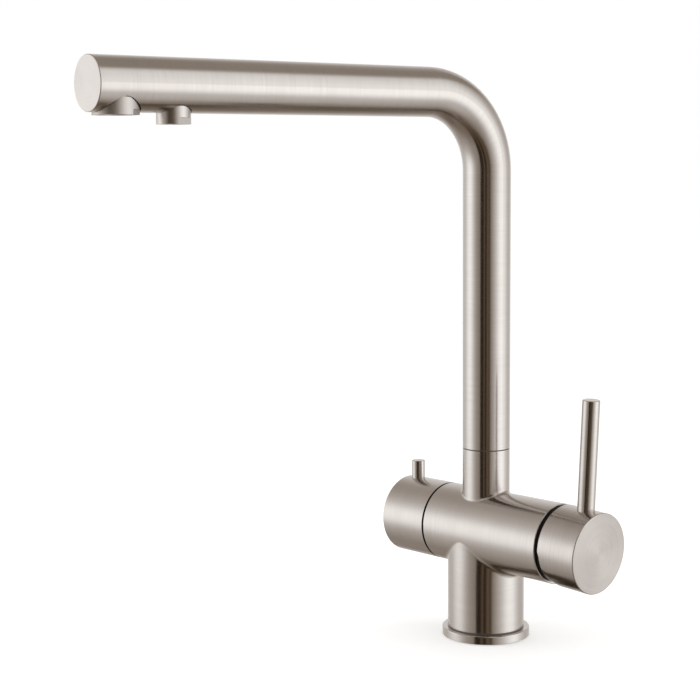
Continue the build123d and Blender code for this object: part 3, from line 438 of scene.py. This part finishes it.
def steel_shader(tree, surface, tone, relief, pull_along, roughness=STEEL_ROUGHNESS, pull=STEEL_PULL,
                 light=STEEL_LIGHT, dark=STEEL_DARK, matt=None):
    """Metal whose colour, roughness and relief follow the scratches. Pull_along is the highlight's long direction.
    Matt is added to the roughness where a piece has matt places."""
    colour = mixed(tree, "RGBA", ranged(tree, tone, *TONE_RANGE), dark, light)
    rough = ranged(tree, tone, *NOISE_RANGE, roughness + LINE_ROUGHNESS, roughness - LINE_ROUGHNESS)
    if matt is not None:
        rough = math_of(tree, "ADD", rough, matt)
    bump = add(tree, "ShaderNodeBump", {"Height": relief, "Strength": LINE_STRENGTH, "Distance": LINE_DEPTH})
    turned_pull = add(tree, "ShaderNodeVectorTransform", {0: pull_along}, vector_type="VECTOR",
                      convert_from="OBJECT", convert_to="WORLD")
    metal = add(tree, "ShaderNodeBsdfPrincipled", {
        "Base Color": colour, "Metallic": 1.0, "Roughness": rough,
        "Anisotropic": pull, "Tangent": turned_pull.outputs[0], "Normal": bump.outputs[0]})
    tree.links.new(metal.outputs[0], surface)


print("steel between", STEEL_DARK[:3], "and", STEEL_LIGHT[:3])

# %% [markdown]
# ## Pieces that were turned on a lathe
#
# Knobs, pins, the ring, the outlets and the spout's end cap are round about one axis. On their sides the scratches
# are hoops, one behind the other along the axis. On their flat faces they are circles around the centre. One material
# builder serves them all: it is told a point on the axis and its direction, and the surface's own direction decides
# between hoops and circles. The outlets were blasted rather than brushed, so they are rougher and show no pull. The
# end cap and the mixer knob have satin faces, more matt than their sides.

# %% Turned steel
SIDE_ENDS, FACE_BEGINS = 0.6, 0.8  # how squarely a surface looks along the axis
SIDE_PULL = 0.01  # about as long as the radius that pulls on a face


def vector_of(tree, operation, *values):
    """Result of one Vector Math node, a vector or for some operations a number."""
    made = add(tree, "ShaderNodeVectorMath", dict(enumerate(values)), operation=operation)
    return made.outputs["Value"] if operation in ("LENGTH", "DOT_PRODUCT") else made.outputs["Vector"]


def turned_steel(name, centre, axis, side_tone=0.0, face_tone=0.0, face_matt=0.0, **shine):
    """Brushed steel of a piece that is round about an axis. The tones make its sides and its faces lighter or
    darker, face_matt makes the faces rougher, and shine holds what else differs from the usual steel."""
    made, tree, surface = empty_material(name)
    coordinates = add(tree, "ShaderNodeTexCoord")
    place = vector_of(tree, "SUBTRACT", coordinates.outputs["Object"], centre)
    along = vector_of(tree, "DOT_PRODUCT", place, axis)
    outward = vector_of(tree, "SUBTRACT", place, scaled(tree, axis, along))
    radius = vector_of(tree, "LENGTH", outward)
    facing = math_of(tree, "ABSOLUTE", vector_of(tree, "DOT_PRODUCT", coordinates.outputs["Normal"], axis))
    flat = ranged(tree, facing, SIDE_ENDS, FACE_BEGINS, smooth=True)
    across = mixed(tree, "FLOAT", flat, along, radius)
    pull_along = mixed(tree, "VECTOR", flat, axis * SIDE_PULL, outward)
    tone, relief = scratches(tree, across, place)
    shift = ranged(tree, flat, 0.0, 1.0, side_tone, face_tone)
    if face_matt:
        shine["matt"] = math_of(tree, "MULTIPLY", flat, face_matt)
    steel_shader(tree, surface, math_of(tree, "ADD", tone, shift), relief, pull_along, **shine)
    return made


print("turned steel ready")

# %% Axes and finishes of the turned pieces
X_AXIS, Z_AXIS = Vector((1.0, 0.0, 0.0)), Vector((0.0, 0.0, 1.0))
BARREL_AXIS_HEIGHT = 0.064
RING_MIDDLE = Vector((0.0, 0.0, 0.0))
FILTER_SEAT = Vector((-0.045, 0.0, BARREL_AXIS_HEIGHT))
TILT_AXIS = Vector((0.061, 0.0, BARREL_AXIS_HEIGHT))
LEAN = math.radians(2.7)  # of the closed mixer handle
SWING = math.radians(6.5)  # of the spout
leaned_out = Vector((math.cos(LEAN), 0.0, -math.sin(LEAN)))
leaned_up = Vector((math.sin(LEAN), 0.0, math.cos(LEAN)))
spout_ahead = Vector((-math.sin(SWING), -math.cos(SWING), 0.0))

AERATOR_FINISH = {"roughness": 0.46, "pull": 0.0, "side_tone": 0.25}
NOZZLE_FINISH = {"roughness": 0.36, "pull": 0.0, "side_tone": 0.25}
CAP_FINISH = {"pull": 0.3, "side_tone": -0.3, "face_tone": 0.17, "face_matt": 0.27,
              "light": (0.785, 0.750, 0.720, 1.0), "dark": (0.607, 0.571, 0.542, 1.0)}
KNOB_FINISH = {"face_tone": 0.01, "face_matt": 0.17,
               "light": (0.637, 0.612, 0.586, 1.0), "dark": (0.550, 0.497, 0.467, 1.0)}


def middle_of(node):
    """Middle of a piece's box."""
    low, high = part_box(node)
    return (low + high) / 2


turned = {
    "base_ring": (RING_MIDDLE, Z_AXIS, {}),
    "bonnet_ring": (TILT_AXIS, X_AXIS, {}),
    "mixer_knob": (TILT_AXIS, leaned_out, KNOB_FINISH),
    "mixer_lever": (middle_of("mixer_lever"), leaned_up, {}),
    "filter_knob": (FILTER_SEAT, X_AXIS, {}),
    "filter_pin": (middle_of("filter_pin"), Z_AXIS, {}),
    "spout_end_cap": (middle_of("spout_end_cap"), spout_ahead, CAP_FINISH),
    "aerator_housing": (middle_of("aerator_housing"), Z_AXIS, AERATOR_FINISH),
    "nozzle_housing": (middle_of("nozzle_housing"), Z_AXIS, NOZZLE_FINISH),
}
finishes = {}
for node, (centre, axis, finish) in turned.items():
    finishes[node] = turned_steel(node + "_steel", centre, axis, **finish)
print(len(finishes), "turned pieces")

# %% [markdown]
# ## The casting
#
# The barrel lies across the column and the neck, and soft blends join them. It was brushed in two directions: around
# the barrel, and around the upright parts. A point belongs to the barrel when it is no further from the barrel's axis
# than the barrel's radius, and the blends fade from one direction to the other, as they do after hand finishing. The
# column and the neck are brazed in and brushed along with it, so they share its material.

# %% Casting steel
BARREL_RADIUS = 0.02325
FADE_BEGINS, FADE_ENDS = 0.0002, 0.0016  # beyond the barrel's radius


def casting_steel(name):
    """Brushed steel around the barrel below its radius and around the upright axis beyond it."""
    made, tree, surface = empty_material(name)
    coordinates = add(tree, "ShaderNodeTexCoord")
    barrel_middle = Z_AXIS * BARREL_AXIS_HEIGHT
    place = vector_of(tree, "SUBTRACT", coordinates.outputs["Object"], barrel_middle)
    parts = add(tree, "ShaderNodeSeparateXYZ", {0: place})
    from_axis = add(tree, "ShaderNodeCombineXYZ", {1: parts.outputs["Y"], 2: parts.outputs["Z"]}).outputs[0]
    upright = ranged(tree, vector_of(tree, "LENGTH", from_axis), BARREL_RADIUS + FADE_BEGINS,
                     BARREL_RADIUS + FADE_ENDS, smooth=True)
    hoops_tone, hoops_relief = scratches(tree, parts.outputs["X"], place)
    rings_tone, rings_relief = scratches(tree, parts.outputs["Z"], place)
    tone = mixed(tree, "FLOAT", upright, hoops_tone, rings_tone)
    relief = mixed(tree, "FLOAT", upright, hoops_relief, rings_relief)
    steel_shader(tree, surface, tone, relief, mixed(tree, "VECTOR", upright, X_AXIS, Z_AXIS))
    return made


finishes["body_casting"] = casting_steel("casting_steel")
for node in ("inlet_column", "swivel_neck"):
    finishes[node] = finishes["body_casting"]
print("barrel radius", BARREL_RADIUS)

# %% [markdown]
# ## The spout's tube
#
# The tube was brushed around before it was bent, so its hoops follow it up, round the bend and out to the end. The
# length along its centre line is a simple sum: the height up to the bend, the arc, and the reach beyond the bend.
# Clamping two distances at zero makes one formula of it, and the same two distances give the tube's direction.

# %% Spout steel
SPOUT_AXIS_HEIGHT = 0.321
BEND_RADIUS = 0.0445
BEND_START = SPOUT_AXIS_HEIGHT - BEND_RADIUS


def spout_steel(name):
    """Brushed steel with hoops along the bent centre line."""
    made, tree, surface = empty_material(name)
    place = add(tree, "ShaderNodeTexCoord").outputs["Object"]
    reach = vector_of(tree, "DOT_PRODUCT", place, spout_ahead)
    height = add(tree, "ShaderNodeSeparateXYZ", {0: place}).outputs["Z"]
    inside = math_of(tree, "MAXIMUM", math_of(tree, "SUBTRACT", BEND_RADIUS, reach), 0.0)
    above = math_of(tree, "MAXIMUM", math_of(tree, "SUBTRACT", height, BEND_START), 0.0)
    arc = math_of(tree, "MULTIPLY", math_of(tree, "ARCTAN2", above, inside), BEND_RADIUS)
    level = math_of(tree, "MAXIMUM", math_of(tree, "SUBTRACT", reach, BEND_RADIUS), 0.0)
    climbed = math_of(tree, "MINIMUM", height, BEND_START)
    length = math_of(tree, "ADD", math_of(tree, "ADD", climbed, arc), level)
    upward = add(tree, "ShaderNodeCombineXYZ", {2: inside}).outputs[0]
    pull = vector_of(tree, "ADD", scaled(tree, spout_ahead, above), upward)
    tone, relief = scratches(tree, length, place)
    steel_shader(tree, surface, tone, relief, pull)
    return made


finishes["spout_tube"] = spout_steel("spout_steel")
print("bend starts at", round(BEND_START, 3), "m")

# %% [markdown]
# ## The pieces inside
#
# Brass spindles, ceramic discs, rubber rings and nylon bearings show only at gaps, from below or when the faucet is
# taken apart. They still get the finish they have in a real faucet: fine turning lines on brass, the faint grain of
# moulded plastic, the dust of matt rubber. Two seals show as thin lines, one above the ring and one where the neck
# parts. Their edges are polished, so they catch some of the light around them.

# %% One builder for the inner finishes
def grained(name, light, dark, grain, metallic=0.0, rough=(0.4, 0.5), relief=0.1, stretch=(1.0, 1.0, 1.0),
            sheen=0.5):
    """Material of two close tones mixed by a noise of a given grain size, with matching roughness and relief."""
    made, tree, surface = empty_material(name)
    coordinates = add(tree, "ShaderNodeTexCoord")
    place = vector_of(tree, "MULTIPLY", coordinates.outputs["Object"], Vector(stretch))
    noise = noise_of(tree, place, 1.0 / grain, 4.0, 0.6)
    colour = mixed(tree, "RGBA", ranged(tree, noise, *NOISE_RANGE), (*dark, 1.0), (*light, 1.0))
    bump = add(tree, "ShaderNodeBump", {"Height": noise, "Strength": relief, "Distance": grain / 4})
    shader = add(tree, "ShaderNodeBsdfPrincipled", {
        "Base Color": colour, "Metallic": metallic, "Roughness": ranged(tree, noise, 0.0, 1.0, *rough),
        "Specular IOR Level": sheen, "Normal": bump.outputs[0]})
    tree.links.new(shader.outputs[0], surface)
    return made


print("inner finishes ready")

# %% The inner finishes
looks = {
    "turned_brass": {"light": (0.80, 0.60, 0.31), "dark": (0.66, 0.47, 0.22), "grain": 0.0004, "metallic": 1.0,
                     "rough": (0.24, 0.36), "stretch": (1.0, 1.0, 6.0)},
    "black_rubber": {"light": (0.040, 0.037, 0.034), "dark": (0.016, 0.015, 0.014), "grain": 0.0003,
                     "rough": (0.6, 0.85), "relief": 0.25, "sheen": 0.25},
    "black_nylon": {"light": (0.016, 0.012, 0.009), "dark": (0.006, 0.005, 0.004), "grain": 0.0005,
                    "rough": (0.5, 0.65), "relief": 0.15, "sheen": 0.2},
    "white_acetal": {"light": (0.84, 0.84, 0.82), "dark": (0.74, 0.74, 0.71), "grain": 0.0006,
                     "rough": (0.35, 0.5)},
    "ceramic": {"light": (0.90, 0.89, 0.86), "dark": (0.82, 0.81, 0.77), "grain": 0.0002, "rough": (0.10, 0.2),
                "relief": 0.05},
    "hose_plastic": {"light": (0.78, 0.81, 0.83), "dark": (0.66, 0.70, 0.73), "grain": 0.0008,
                     "rough": (0.3, 0.45)},
    "screw_steel": {"light": (0.52, 0.51, 0.50), "dark": (0.38, 0.37, 0.36), "grain": 0.0003, "metallic": 1.0,
                    "rough": (0.25, 0.4), "relief": 0.15},
    "polished_seal": {"light": (0.120, 0.092, 0.074), "dark": (0.078, 0.060, 0.048), "grain": 0.0003,
                      "rough": (0.22, 0.34), "sheen": 1.0},
}
inner = {name: grained(name, **look) for name, look in looks.items()}
for node in ("ring_seal", "glide_ring"):
    finishes[node] = inner["polished_seal"]
print(sorted(inner))

# %% Give every piece its finish
slot_of = {part["node"]: part["material_slot"] for part in frame["record"]["subparts"]}
for node, piece in frame["nodes"].items():
    finish = finishes.get(node) or inner[slot_of[node]]
    piece.data.materials.clear()
    piece.data.materials.append(finish)
print(len(frame["nodes"]), "pieces have a finish")

# %% [markdown]
# ## Last cell
#
# The visual model must keep the CAD model's size. This last cell only loads the json module.

# %% Last cell
import json
